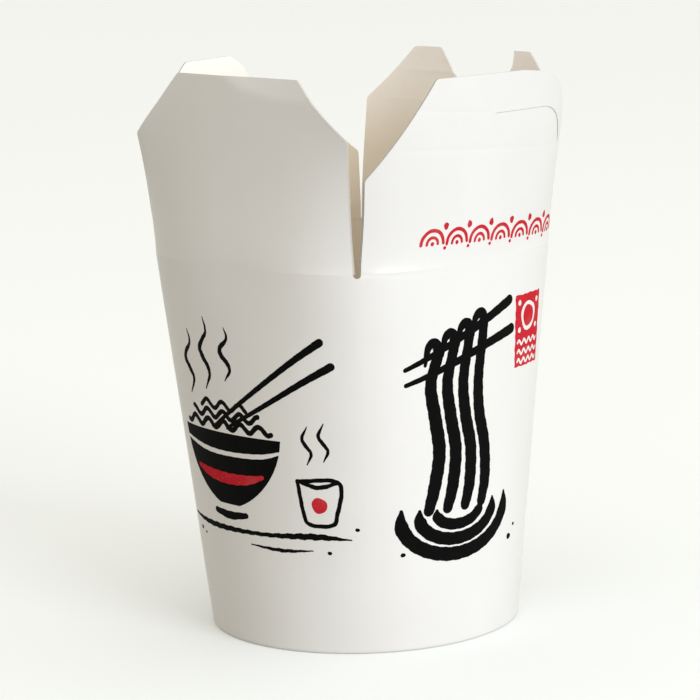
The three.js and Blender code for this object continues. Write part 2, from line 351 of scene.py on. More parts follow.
def flap_relief(side, a, h):
    """How far a flap is pressed in by its score lines, its slit's lip or its bent corner."""
    pressed = np.zeros_like(a)
    for start, end, depth in SCORES[side]:
        pressed += scored(a, h, start, end, depth)
    if side == "slot":
        pressed += slit_lip(a, h)
    if side == "plain":
        pressed += bent_corner(a, h)
    return pressed


def flap_point(side, a, h, depth):
    """Points of a finished flap, in millimetres."""
    t = -a
    step = 0.05
    out = flap_face(side, t, h)
    slope_t = (flap_face(side, t + step, h) - flap_face(side, t - step, h)) / (2 * step)
    slope_h = (flap_face(side, t, h + step) - flap_face(side, t, h - step)) / (2 * step)
    slant = np.sqrt(1 + slope_t**2 + slope_h**2)
    flat = set_round(side, t, out, WALL_HEIGHT + h)
    pressed = depth + card_wave(flat) + crease_relief(side, a, h) + flap_relief(side, a, h)
    return set_round(side, t, out - pressed * slant, WALL_HEIGHT + h)


# ---- Outlines of the flaps: (a, h) round each, from the right end of its foot ----

TOP_HALF = 21.8  # half the level top of the plain and slot flaps
LEAST_TURN = 0.35  # radians: gentler turns of an outline aren't rounded
LEAST_ROOM = 2.5  # nor are corners whose edges are shorter than this many radii


def mirrored(points):
    """The points of the other side of a shape, in the order that goes on round it."""
    return [(-a, h) for a, h in reversed(points)]


def arc(centre, radius, first, last, count):
    """Points of an arc between two angles in degrees."""
    angles = np.radians(np.linspace(first, last, count))
    return [(centre[0] + radius * math.cos(t), centre[1] + radius * math.sin(t)) for t in angles]


def bezier(points, count):
    """A cubic Bezier curve's points after its first."""
    p = np.array(points, float)
    made = []
    for u in np.linspace(0, 1, count + 1)[1:]:
        v = 1 - u
        made.append(tuple(v**3 * p[0] + 3 * v * v * u * p[1] + 3 * v * u * u * p[2] + u**3 * p[3]))
    return made


def plain_outline():
    """A tall flap whose edges widen upwards, with slanting shoulders and a level top."""
    foot = (NEAR_FOOT, 0)
    right = [foot, *bezier([foot, (35.9, 12), (36.9, 23), (38.2, 33.5)], 8), (TOP_HALF, FLAP_HEIGHT)]
    left = [(FOOT, 0), (37.2, 10), (38.5, 20), (39.5, 31.3), (29.7, 40), (TOP_HALF, FLAP_HEIGHT)]
    return right + mirrored(left)


def slot_outline():
    """The flap that takes the locking slit, with a rounder shoulder on its right."""
    right = [(FOOT, 0), (37.8, 24), (27, 41.2), (22.9, 45.3), (15.5, 46.9), (9, 47.6)]
    foot = (NEAR_FOOT, 0)
    left = [foot, *bezier([foot, (35.9, 10), (36.6, 16), (37.5, 23.7)], 6), (TOP_HALF, FLAP_HEIGHT)]
    return right + mirrored(left)


def slit_outline(half):
    """The locking slit: a straight cut, and a round hook at its outer end."""
    centre = (SLIT_END, SLIT_HEIGHT - SLIT_RADIUS)
    over = arc(centre, SLIT_RADIUS + half, HOOK_STOP, 90, 14)
    under = arc(centre, SLIT_RADIUS - half, 90, HOOK_STOP, 14)
    return [*over, (0, SLIT_HEIGHT + half), (0, SLIT_HEIGHT - half), *under]


def notch_outline():
    """The flap with a wide round notch in its top, which ends in a small shoulder on its left."""
    right = [(FOOT, 0), (37, 33.6), (21.9, FLAP_HEIGHT), (12.2, FLAP_HEIGHT), (7.6, 41)]
    bottom = bezier([(7.6, 41), (2.5, 35.4), (-10.5, 36.2), (-14.3, 42.2)], 14)
    shoulder = bezier([(-14.3, 42.2), (-15.43, 43.4), (-16, 45.3), (-16, FLAP_HEIGHT)], 6)
    left = [(-21.9, FLAP_HEIGHT), (-37, 33), (-FOOT, 0)]
    return right + bottom + shoulder + left


def tongue_outline():
    """The flap that narrows to the locking tongue."""
    right = [(FOOT, 0), (36.5, 20), (15, 38), (13.2, 41), (12.6, 43.8), (9, 46.7)]
    left = [(FOOT + 0.4, 0), (38.0, 18.6), (36.1, 21.3), (15.5, 38), (12.8, 41), (11.5, 44.1), (7.3, 47)]
    return right + mirrored(left)


OUTLINES = {
    "plain": plain_outline,
    "slot": slot_outline,
    "notch": notch_outline,
    "tongue": tongue_outline,
}


def rounded(points, radius):
    """The loop with a small round for each corner above the foot."""
    made = []
    for i, here in enumerate(points):
        before, after = Vector(points[i - 1]), Vector(points[(i + 1) % len(points)])
        corner = Vector(here)
        room = min((before - corner).length, (after - corner).length)
        bend = (corner - before).angle(after - corner)
        if here[1] <= 0 or room < LEAST_ROOM * radius or bend < LEAST_TURN:
            made.append(tuple(here))
            continue
        start = corner + (before - corner).normalized() * radius
        end = corner + (after - corner).normalized() * radius
        for u in np.linspace(0, 1, 5):
            made.append(tuple(start * (1 - u) ** 2 + corner * 2 * u * (1 - u) + end * u * u))
    return made


# ---- Meshing ----

OUTSIDE, INSIDE, EDGE = range(3)  # the material slots of a piece of card
SHARP = math.radians(40)  # faces that meet at more than this are shaded as an edge
ROW_SHARE = 0.866  # how far apart the rows of a triangle grid lie, as a share of its spacing
CLEAR_SHARE = 0.55  # how far the grid keeps off its border, as a share of its spacing
BATCH = 400  # border points that are measured against the grid at a time
WELD = 1e-5  # points nearer to each other than this become one
LEAST_AREA = 1e-7  # thinner triangles are left out


def split_long(points, spacing, closed=True):
    """The loop or line with points added so that no step is longer than spacing."""
    made = []
    count = len(points) if closed else len(points) - 1
    for i in range(count):
        a, b = np.array(points[i], float), np.array(points[(i + 1) % len(points)], float)
        steps = max(1, math.ceil(np.hypot(*(b - a)) / spacing - 1e-9))
        made += [tuple(a + (b - a) * k / steps) for k in range(steps)]
    return made if closed else made + [tuple(points[-1])]


def winding(loop, points):
    """How many times the loop goes round each point."""
    loop = np.array(loop, float)
    total = np.zeros(len(points), int)
    for (x0, y0), (x1, y1) in zip(loop, np.roll(loop, -1, 0)):
        side = (x1 - x0) * (points[:, 1] - y0) - (points[:, 0] - x0) * (y1 - y0)
        total += (y0 <= points[:, 1]) & (y1 > points[:, 1]) & (side > 0)
        total -= (y0 > points[:, 1]) & (y1 <= points[:, 1]) & (side < 0)
    return total


def covered(points, fills, clears):
    """Whether each point is in a filled loop and in no cleared one."""
    inside = np.zeros(len(points), bool)
    for loop in fills:
        inside |= winding(loop, points) != 0
    for loop in clears:
        inside &= winding(loop, points) == 0
    return inside


def inner_grid(border, fills, clears, spacing):
    """An even grid of points over the area inside fills and outside clears, clear of its border."""
    low, high = border.min(0), border.max(0)
    grid = []
    for row, y in enumerate(np.arange(low[1] + spacing / 2, high[1], spacing * ROW_SHARE)):
        shift = spacing / 2 if row % 2 else 0
        grid += [(x + shift, y) for x in np.arange(low[0] + spacing / 2, high[0], spacing)]
    grid = np.array(grid)
    grid = grid[covered(grid, fills, clears)]
    near = np.full(len(grid), np.inf)
    for part in np.array_split(border, max(1, len(border) // BATCH)):
        gap = np.hypot(grid[:, None, 0] - part[:, 0], grid[:, None, 1] - part[:, 1]).min(1)
        near = np.minimum(near, gap)
    return [tuple(p) for p in grid[near > CLEAR_SHARE * spacing]]


def flat_mesh(fills, clears, spacing, edge_spacing, lines=()):
    """Triangles over the area inside fills and outside clears. Lines are kept as edges."""
    points, edges = [], []
    for loop in [*fills, *clears]:
        first = len(points)
        points += split_long(loop, edge_spacing)
        count = len(points) - first
        edges += [(first + i, first + (i + 1) % count) for i in range(count)]
    for line in lines:
        first = len(points)
        points += split_long(line, edge_spacing, closed=False)
        edges += [(first + i, first + i + 1) for i in range(len(points) - first - 1)]
    points += inner_grid(np.array(points), fills, clears, spacing)
    done = delaunay_2d_cdt([Vector(p) for p in points], edges, [], 0, WELD)
    flat = np.array([tuple(v) for v in done[0]], float)
    triangles = np.array([f for f in done[2] if len(f) == 3], int)
    corners = flat[triangles]
    one, two = corners[:, 1] - corners[:, 0], corners[:, 2] - corners[:, 0]
    twice_area = one[:, 0] * two[:, 1] - one[:, 1] * two[:, 0]
    triangles = np.where((twice_area < 0)[:, None], triangles[:, ::-1], triangles)
    keep = covered(corners.mean(1), fills, clears) & (np.abs(twice_area) > LEAST_AREA)
    used, compact = np.unique(triangles[keep], return_inverse=True)
    return flat[used], compact.reshape(-1, 3)


def plate(name, flat, triangles, outer, inner, materials):
    """A closed thin piece from a flat mesh and where its points lie on the outer and inner face."""
    count = len(flat)
    edges = dict.fromkeys((f[n - 1], f[n]) for f in triangles.tolist() for n in (1, 2, 0))
    rim = [e for e in edges if (e[1], e[0]) not in edges]
    faces = triangles.tolist()
    faces += (triangles[:, ::-1] + count).tolist()
    faces += [(j, i, i + count, j + count) for i, j in rim]
    slots = [OUTSIDE] * len(triangles) + [INSIDE] * len(triangles) + [EDGE] * len(rim)
    return mesh_object(name, np.concatenate([outer, inner]), faces, slots, materials)


def placed(name, data):
    """A new object in the scene for a mesh, lamp or camera."""
    made = bpy.data.objects.new(name, data)
    bpy.context.scene.collection.objects.link(made)
    return made


def mesh_object(name, points, faces, slots, materials):
    """A smooth-shaded object from points in millimetres, with a material slot for each face.

    A piece with fewer materials than slots takes its last one for the rest.
    """
    mesh = bpy.data.meshes.new(name)
    mesh.from_pydata([tuple(p) for p in np.asarray(points) * MM], [], faces)
    for material in materials:
        mesh.materials.append(material)
    mesh.polygons.foreach_set("material_index", [min(s, len(materials) - 1) for s in slots])
    mesh.polygons.foreach_set("use_smooth", [True] * len(faces))
    mesh.set_sharp_from_angle(angle=SHARP)
    mesh.update()
    return placed(name, mesh)


# ---- The wall and the base ----

HALF_STEPS = 24  # mesh lines over half a side, before those round the cut at its corner
CUT_STEPS = (0, 0.2, 0.42, 0.62, 0.8, 0.92, 0.98, 1.0)  # places of those, as shares of half the cut
CUT_REACH = 5.0  # how far below the crease the mesh rows bend to follow the cuts
SEAM_LINE = 0.03  # mesh lines lie this far on both sides of each edge of the lap
SEAM_REACH = 37.0  # half a side where those lines are set
FOLD_ROUND = ((0.42, 0.0), (0.2, 0.07), (0.05, 0.27))  # (depth, z) of the small round at the rim's fold
DISC_DEPTH = 9.0  # where the rings of the base end and its flat middle starts


def ring_columns():
    """The sides and places along them of the wall's upright mesh lines, once round.

    A place is a share of half a side's girth, below 0 to the left of its middle.
    """
    near_corner = 1 - np.array(CUT_STEPS) * SLOT_HALF / MOUTH_LENGTH
    half = np.concatenate([np.linspace(0, near_corner[-1], HALF_STEPS + 1)[:-1], near_corner[::-1]])
    shares = np.concatenate([-half[:0:-1], half[:-1]])
    columns = []
    for side in ("tongue", "plain", "slot", "notch"):
        places = list(shares)
        if side == SEAM_SIDE:
            for at in (SEAM_AT, SEAM_AT + SEAM_LAP):
                places += [(at - SEAM_LINE) / SEAM_REACH, (at + SEAM_LINE) / SEAM_REACH]
        columns += [(side, share) for share in sorted(places)]
    return columns


def wall_rows():
    """The wall's closed section: (depth, z, slot) from the fold up, over the top and down to the hem."""
    up = [0.6, 1.2, 2.2, 3.5, 5.2, 7, 9, *np.arange(11.5, 95, 2.5), 95.5, 97, 98, 98.8, 99.4, 99.75]
    down = [99.4, 98, 96, *np.arange(93, 10, -3.0), 8, 6, 3, 1, CARD]
    hem_out = 3 * CARD + 2 * SKIRT_GAP
    rows = [(depth, z, OUTSIDE) for depth, z in FOLD_ROUND]
    rows += [(0.0, z, OUTSIDE) for z in [*up, WALL_HEIGHT]]
    rows += [(CARD, z, INSIDE) for z in [WALL_HEIGHT, *down]]
    rows += [(hem_out - CARD, CARD, INSIDE), (hem_out - CARD, HEM_HEIGHT, EDGE)]
    rows += [(hem_out, z, OUTSIDE) for z in (HEM_HEIGHT, 3, 0.6)]
    return rows + [(hem_out - depth, z, OUTSIDE) for depth, z in reversed(FOLD_ROUND)]


def ring_points(columns, heights, face):
    """One ring of points. Face gives the points of a side at places along it and their heights."""
    sides = np.array([side for side, _ in columns])
    shares = np.array([share for _, share in columns])
    points = np.empty((len(columns), 3))
    for side in SIDES:
        here = sides == side
        level = heights[here]
        points[here] = face(side, shares[here] * half_side(level), level)
    return points


def ring_faces(across, rings, closed):
    """Four-sided faces from each ring of points to the next, and from the last to the first if closed."""
    faces = []
    for r in range(rings if closed else rings - 1):
        low, high = r * across, (r + 1) % rings * across
        for c in range(across):
            right = (c + 1) % across
            faces.append((low + c, low + right, high + right, high + c))
    return faces


def build_wall(materials):
    """The wall, with the round ends of the cuts between the flaps in its top edge."""
    columns, rows = ring_columns(), wall_rows()
    gap = (1 - np.abs([share for _, share in columns])) * MOUTH_LENGTH
    closed = [CLOSED_ENDS.get(side, 0) * share > 0 for side, share in columns]
    slot_half = np.where(closed, CLOSED_SLOT_HALF, SLOT_HALF)
    dip = np.sqrt(np.maximum(slot_half**2 - gap**2, 0))
    rings, slots = [], []
    for (depth, z, slot), (_, following, _) in zip(rows, rows[1:] + rows[:1]):
        squeeze = max(0.0, (z - WALL_HEIGHT + CUT_REACH) / CUT_REACH)
        face = partial(wall_point, depth=depth, inner=depth == CARD)
        rings.append(ring_points(columns, z - dip * squeeze, face))
        slots += [EDGE if z == following == WALL_HEIGHT else slot] * len(columns)
    faces = ring_faces(len(columns), len(rows), closed=True)
    return mesh_object("pail_wall", np.concatenate(rings), faces, slots, materials)


def base_profile():
    """The base's section: (depth, z) from its underside round its skirt to its top."""
    outside, inside = CARD + SKIRT_GAP, 2 * CARD + SKIRT_GAP
    under = BASE_HEIGHT - CARD
    profile = [(DISC_DEPTH, under), (inside + 0.6, under), (inside + 0.15, under - 0.12)]
    profile += [(inside, z) for z in (under - 0.5, 3, SKIRT_FOOT)]
    profile += [(outside, z) for z in (SKIRT_FOOT, 3, under - 0.1)]
    profile += [(outside - 0.1, BASE_HEIGHT - 0.35), (outside, BASE_HEIGHT - 0.1)]
    return profile + [(depth, BASE_HEIGHT) for depth in (outside + 0.3, outside + 3, DISC_DEPTH)]


def build_base(materials):
    """A disc of card with its edge turned down into a skirt inside the fold of the rim."""
    columns, profile = ring_columns(), base_profile()
    rings, across = len(profile), len(columns)
    points = []
    for depth, z in profile:
        points += list(ring_points(columns, np.full(across, float(z)), partial(section_point, depth=depth)))
    points += [(0, 0, profile[0][1]), (0, 0, profile[-1][1])]
    faces = ring_faces(across, rings, closed=False)
    lower, upper, last = rings * across, rings * across + 1, (rings - 1) * across
    for c in range(across):
        right = (c + 1) % across
        faces += [(lower, right, c), (upper, last + c, last + right)]
    return mesh_object("pail_base", points, faces, [0] * len(faces), materials)


# ---- The flaps ----

SCORE_LINES = (-0.9, -0.45, 0, 0.45, 0.9)  # mesh lines beside a score, for a clean groove
CREASE_LINES = (0.25, 0.5, 1.0, 1.6, 2.4, 3.4)  # heights of mesh lines above the crease
LINE_END = 0.7  # how far those stop short of the foot's ends


def fold_with(piece):
    """Bakes the piece's placement into its points, so that it stays in its open place."""
    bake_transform(piece)


def build_flap(side, sizes, materials):
    """A flap in its open place, cut to its outline, with its slit if it has one."""
    clears = [slit_outline(sizes.slit_width / MM / 2)] if side == "slot" else []
    lines = []
    for start, end, _ in SCORES[side]:
        lines += [[(start[0], start[1] + off), (end[0], end[1] + off)] for off in SCORE_LINES]
    lines += [[(LINE_END - FOOT, h), (FOOT - LINE_END, h)] for h in CREASE_LINES]
    outline = rounded(OUTLINES[side](), sizes.corner_round / MM)
    flat, triangles = flat_mesh([outline], clears, spacing=1.3, edge_spacing=1.0, lines=lines)
    a, h = flat[:, 0], flat[:, 1]
    outer, inner = flap_point(side, a, h, 0.0), flap_point(side, a, h, CARD)
    return plate(f"flap_{side}", flat, triangles, outer, inner, materials)


# ---- Print ----


def spline(points, step):
    """A smooth line through points of any number of columns, sampled about every step."""
    p = np.array(points, float)
    padded = np.vstack([2 * p[0] - p[1], p, 2 * p[-1] - p[-2]])
    made = []
    for i in range(1, len(padded) - 2):
        p0, p1, p2, p3 = padded[i - 1 : i + 3]
        count = max(2, math.ceil(np.hypot(*(p2 - p1)[:2]) / step))
        for u in np.arange(count) / count:
            low = 2 * p1 + (p2 - p0) * u + (2 * p0 - 5 * p1 + 4 * p2 - p3) * u**2
            made.append((low + (3 * p1 - p0 - 3 * p2 + p3) * u**3) / 2)
    return np.array([*made, p[-1]])


def round_end(centre, forward, radius):
    """The half round that ends a stroke. Forward is the direction in which it runs out."""
    across = np.array([-forward[1], forward[0]])
    angles = np.linspace(-1, 1, 7)[1:-1] * math.pi / 2
    return [centre + radius * (forward * math.cos(t) + across * math.sin(t)) for t in angles]


def brush(points, seed, rough=0.05, step=0.5):
    """The outline of one brush stroke through (a, z, width) stations. Seed varies its uneven edge."""
    line = spline(points, step)
    way = np.gradient(line[:, :2], axis=0)
    way /= np.hypot(way[:, 0], way[:, 1])[:, None]
    aside = np.stack([-way[:, 1], way[:, 0]], -1)
    run = np.concatenate([[0], np.cumsum(np.hypot(*np.diff(line[:, :2], axis=0).T))])
    width = np.maximum(line[:, 2], LEAST_STROKE)
    edges = []
    for sign in (1, -1):
        wobble = np.sin(run * 1.9 + seed + sign) + 0.6 * np.sin(run * 4.7 + seed * 2.3 - sign)
        half = width / 2 * (1 + rough * wobble)
        edges.append(line[:, :2] + aside * (sign * half)[:, None])
    head = round_end(line[0, :2], -way[0], width[0] / 2)
    tail = round_end(line[-1, :2], way[-1], width[-1] / 2)
    return [tuple(p) for p in [*edges[1], *tail, *edges[0][::-1], *head]]


def blob(centre, size, seed, rough=0.04, count=28):
    """A round or oval spot with a slightly uneven edge."""
    made = []
    for t in np.linspace(0, 2 * math.pi, count, endpoint=False):
        swell = 1 + rough * (math.sin(3 * t + seed) + 0.5 * math.sin(5 * t - seed))
        across, up = size[0] * math.cos(t), size[1] * math.sin(t)
        made.append((centre[0] + across * swell, centre[1] + up * swell))
    return made


def drops(spots):
    """Small flattened drops of ink at (a, z, size)."""
    return [blob((a, z), (size, size * 0.8), a) for a, z, size in spots]


def bowl_body():
    """The bowl from its rim down to its foot and up again."""
    rim = (-19.5, BOWL_RIM)
    left = [rim, *bezier([rim, (-18.5, 46.5), (-11, 39.5), (-4, BOWL_FOOT)], 12)]
    return [(BOWL_MIDDLE + a, z) for a, z in left + mirrored(left)]


def heaped_noodles():
    """Three rows of waves above the rim, each shorter than the one below it."""
    rows = []
    for i, lift in enumerate((58.1, 60.7, 63.2)):
        reach, width = 21 - 5 * i, 1.4 - 0.1 * i
        stations = []
        for k in range(-reach, reach + 1):
            stations.append((BOWL_MIDDLE + 0.8 * k, lift + math.cos(k * math.pi / 4), width))
        rows.append(brush(stations, 5.0 + i, rough=0.06))
    return rows


def wisp(a, low, high, swings, seed):
    """A wisp of steam that rises from low to high through its swings."""
    stations = [(a + aside, low + share * (high - low), width) for aside, share, width in swings]
    return brush(stations, seed, rough=0.1)


def cup():
    """A small cup, wider at its top, with a dipped front rim."""
    outline = [(18.2, 46.0), (19.4, 37.0), (21.0, 34.6), (26.6, 34.6), (28.2, 37.0), (29.4, 46.0)]
    walls = brush([(a, z, 1.1) for a, z in [*outline, outline[0]]], 3.0, rough=0.08)
    front = brush([(18.4, 46.0, 0.9), (23.8, 44.6, 1.2), (29.2, 46.0, 0.9)], 6.0, rough=0.1)
    return [walls, front]


def table_line():
    """Two long dry strokes under the bowl, and a few drops."""
    upper = [(-27.5, 31.0, 0.4), (-14, 30.3, 1.5), (6, 30.6, 1.1), (22, 31.4, 1.7), (31.5, 30.8, 0.3)]
    lower = [(2, 27.4, 0.3), (12, 27.0, 1.0), (21, 27.6, 0.3)]
    spots = ((-22.5, 27.6, 0.7), (-19.6, 26.8, 0.45), (25.5, 27.2, 0.6), (33.2, 33.5, 0.6))
    return [brush(upper, 9.0, rough=0.14), brush(lower, 2.0, rough=0.16), *drops(spots)]


def bowl_print():
    """A steaming noodle bowl with chopsticks, and a cup beside it: black parts, cleared and red."""
    ring = [(-11.5, 34.6, 1.6), (-5.5, 34.0, 2.2), (0.8, 34.7, 1.5)]
    upper_stick = [(-9, 57.5, 1.0), (4, 66.5, 1.3), (19, 77.0, 1.7), (27.5, 82.6, 2.1)]
    lower_stick = [(-4, 57.5, 1.0), (9, 64.5, 1.3), (22, 72.0, 1.7), (30, 76.4, 2.1)]
    black = [bowl_body(), brush(ring, 1.0), *heaped_noodles()]
    black += [brush(upper_stick, 7.0, rough=0.03), brush(lower_stick, 8.0, rough=0.03)]
    for i, (a, low, high) in enumerate(((-19, 65, 82), (-11.5, 67, 86), (-3.5, 70, 84))):
        black.append(wisp(a, low, high, TALL_WISP, 2.0 * i))
    for i, (a, low) in enumerate(((21.4, 50.5), (26.0, 51.5))):
        black.append(wisp(a, low, low + 10, SHORT_WISP, 3.0 + i))
    black += [*cup(), *table_line()]
    pale_band = [(-24.6, 52.6, 0.9), (-14, 50.9, 1.3), (-4, 50.6, 1.2), (7, 51.2, 1.3), (13.4, 52.7, 0.8)]
    red_band = [(-18.6, 45.6, 1.2), (-13, 44.4, 2.6), (-5.5, 43.9, 3.0), (2, 44.4, 2.5), (7.4, 45.7, 1.1)]
    red = [brush(red_band, 2.0), blob((23.8, 39.8), (2.1, 2.1), 1.0)]
    return black, [brush(pale_band, 4.0)], red


def strand(i):
    """The i-th noodle: up over the sticks in a hook, and down in a gentle wave."""
    start, crown = -17.2 + 5.4 * i, 80.6 + 1.9 * i
    stations = [(start - 2.0, crown - 5.4, 1.0), (start - 1.3, crown - 1.2, 2.2), (start + 0.6, crown, 2.9)]
    stations.append((start + 2.0, crown - 2.8, 3.4))
    for z, width in ((70, 3.6), (61, 3.9), (52, 4.0), (43, 3.9), (37, 3.2)):
        stations.append((start + 1.6 + 1.7 * math.sin(z / 6.5 + 0.25 * i), z, width))
    return brush(stations, 3.0 + i, rough=0.035)


def curl(i, reach, drop, width):
    """The i-th noodle of the nest: an open curve under the strands, thin at both ends."""
    stations = []
    for turn in np.radians(np.linspace(172, 368, 11)):
        a, z = NEST_MIDDLE[0] + reach * math.cos(turn), NEST_MIDDLE[1] + drop * math.sin(turn)
        stations.append((a, z, width))
    stations[0] = (*stations[0][:2], 1.0)
    stations[-1] = (*stations[-1][:2], 0.8)
    return brush(stations, 6.0 + i, rough=0.035)


def noodle_print():
    """A tall bold motif: noodles lifted over two sticks, with their ends curled in a nest."""
    upper = [(-25, 74.6, 1.2), (-13.5, 78.8, 1.9), (0, 83.6, 2.3), (11.6, 88.0, 2.8)]
    lower = [(-24.6, 70.6, 1.2), (-12.5, 73.9, 1.9), (1, 77.6, 2.3), (12.6, 80.4, 2.8)]
    black = [brush(upper, 1.0, rough=0.03), brush(lower, 2.0, rough=0.03)]
    black += [strand(i) for i in range(4)]
    for i, size in enumerate(((17.6, 11.6, 3.7), (12.4, 7.6, 3.4), (7.2, 3.8, 3.0))):
        black.append(curl(i, *size))
    return black + drops(((13.8, 24.6, 1.0), (16.4, 27.4, 0.55), (-23.4, 26.0, 0.7)))


def stamp_print():
    """A red stamp: a slightly worn field, the parts that are left clear in it, and its sun."""
    (left, low), (right, high) = STAMP_LOW, STAMP_HIGH
    field = []
    for i, (a, z) in enumerate(split_long([(left, low), (right, low), (right, high), (left, high)], 1.2)):
        wear = 0.16 * math.sin(i * 2.4) + 0.1 * math.sin(i * 5.3)
        field.append((a + wear, z - wear * 0.7))
    clear = []
    for i, z in enumerate((75.9, 73.3, 70.9)):
        stations = [(15.9 + 0.68 * k, z + 0.6 * math.sin(k * math.pi / 2), 0.75) for k in range(17)]
        clear.append(brush(stations, 3.0 + i, rough=0.08, step=0.4))
    for a, z in ((16.6, 86.4), (26.1, 86.2), (16.7, 79.2), (26.0, 79.4)):
        clear.append(blob((a, z), (0.75, 0.75), a))
    clear.append(blob(SUN_MIDDLE, (SUN_OUTER, SUN_OUTER), 0.5))
    return field, clear, blob(SUN_MIDDLE, (SUN_INNER, SUN_INNER), 1.5)


def half_round(centre, radius, width, seed):
    """A drawn half circle that opens downwards."""
    return brush([(a, z, width) for a, z in arc(centre, radius, 2, 178, 9)], seed)


def border_print():
    """A row of red half-round waves, with a drop above and a dot below each place where two meet."""
    red = []
    for i in range(BORDER_COUNT):
        middle = BORDER_START + BORDER_PITCH * i
        level = 5.1 - 0.05 * middle
        for radius, width in ((3.55, 0.95), (1.75, 0.8)):
            red.append(half_round((middle, level), radius, width, 1.3 * i + radius))
        red.append(blob((middle, level + 0.1), (0.55, 0.55), i))
        if i < BORDER_COUNT - 1:
            meeting = middle + BORDER_PITCH / 2
            red.append(blob((meeting, level + 4.3), (0.8, 0.95), 2.0 * i, rough=0.08))
            red.append(blob((meeting, level - 1.3), (0.5, 0.45), 3.0 * i, rough=0.06))
    return red


def ink_film(scene, name, slot, fills, clears, spot):
    """A thin film of ink on the card. Spot gives the card's points at a place, a height and a depth."""
    flat, triangles = flat_mesh(fills, clears, spacing=2.0, edge_spacing=0.6)
    a, z = flat[:, 0], flat[:, 1]
    outer = spot(a, z, -scene.noodle_pail_sizes.ink_film / MM)
    return plate(name, flat, triangles, outer, spot(a, z, INK_ROOT), [ink(scene, slot)])


# ---- Materials ----

BLACK = (0, 0, 0)
FLECK = (0.52, 0.47, 0.38)  # the fibres that show in the card's coating
# Heights over which painted shade lower down fades into a card's own colour.
PAINTED_SHADE_LOW, PAINTED_SHADE_HIGH = 0.116, 0.15  # heights in metres between which a card's two colours meet

# The inks, by the material slot that they take: name, worn colour, share of pinholes and dullness
INKS = {
    "ink_black": ("Black ink", (0.014, 0.013, 0.012), 0.2, 0.6),
    "ink_red": ("Red ink", (0.72, 0.2, 0.19), 0.4, 0.55),
}


class Value:
    """A socket in a material's nodes, so that shader maths reads as plain expressions."""

    def __init__(self, graph, socket):
        self.graph = graph
        self.socket = socket

    def math(self, operation, *inputs):
        """The result of a Math node on values or numbers."""
        return self.graph.node("ShaderNodeMath", {"operation": operation}, dict(enumerate(inputs)))

    def __add__(self, other):
        return self.math("ADD", self, other)

    def __radd__(self, other):
        return self.math("ADD", other, self)

    def __sub__(self, other):
        return self.math("SUBTRACT", self, other)

    def __rsub__(self, other):
        return self.math("SUBTRACT", other, self)

    def __mul__(self, other):
        return self.math("MULTIPLY", self, other)

    def __rmul__(self, other):
        return self.math("MULTIPLY", other, self)

    def smooth(self, low, high):
        """0 below low, 1 above high, and eased between them."""
        settings = {"interpolation_type": "SMOOTHSTEP"}
        return self.graph.node("ShaderNodeMapRange", settings, {0: self, 1: low, 2: high})


class Graph:
    """The nodes of one material, or of the air round the pail."""

    def __init__(self, owner, place="Object"):
        self.owner = owner
        owner.use_nodes = True
        self.tree = owner.node_tree
        self.tree.nodes.clear()
        self.place = self.node("ShaderNodeTexCoord", output=place)

    def node(self, kind, settings=None, inputs=None, output=0):
        """Adds a node, with its settings and then its sockets, and gives one of its outputs."""
        made = self.tree.nodes.new(kind)
        for key, value in (settings or {}).items():
            setattr(made, key, value)
        for key, value in (inputs or {}).items():
            if isinstance(value, Value):
                self.tree.links.new(value.socket, made.inputs[key])
            else:
                made.inputs[key].default_value = value
        return None if output is None else Value(self, made.outputs[output])

    def noise(self, scale, detail=2.0, roughness=0.5, where=None):
        """Noise at the place or at another vector, from 0 to 1."""
        inputs = {"Vector": where or self.place, "Scale": scale, "Detail": detail, "Roughness": roughness}
        return self.node("ShaderNodeTexNoise", None, inputs)

    def stretched(self, factors, offset=(0, 0, 0)):
        """The place, scaled along each axis and then moved."""
        scaled = self.node("ShaderNodeVectorMath", {"operation": "MULTIPLY"}, {0: self.place, 1: factors})
        return self.node("ShaderNodeVectorMath", {"operation": "ADD"}, {0: scaled, 1: offset})

    def mix(self, share, first, second):
        """A colour between first and second, through the node's colour sockets 6, 7 and 2."""
        inputs = {0: share, 6: first, 7: second}
        return self.node("ShaderNodeMix", {"data_type": "RGBA"}, inputs, 2)

    def axes(self):
        """The place's x, y and z."""
        inputs = {0: self.place}
        return [self.node("ShaderNodeSeparateXYZ", None, inputs, i) for i in range(3)]

    def bump(self, height, strength, distance, normal=None):
        """A normal bent by a height. Distance is in metres."""
        inputs = {"Strength": strength, "Distance": distance, "Height": height}
        if normal:
            inputs["Normal"] = normal
        return self.node("ShaderNodeBump", None, inputs)

    def finish(self, inputs):
        """Ends the material in one shader with these sockets."""
        shader = self.node("ShaderNodeBsdfPrincipled", None, inputs)
        self.node("ShaderNodeOutputMaterial", None, {"Surface": shader}, None)
        return self.owner


def rgba(colour, factor=1.0):
    """A colour for a socket, made lighter or darker by factor."""
    return (*[min(c * factor, 1) for c in colour[:3]], 1.0)


def material(name):
    """The empty nodes of a new material."""
    return Graph(bpy.data.materials.new(name))


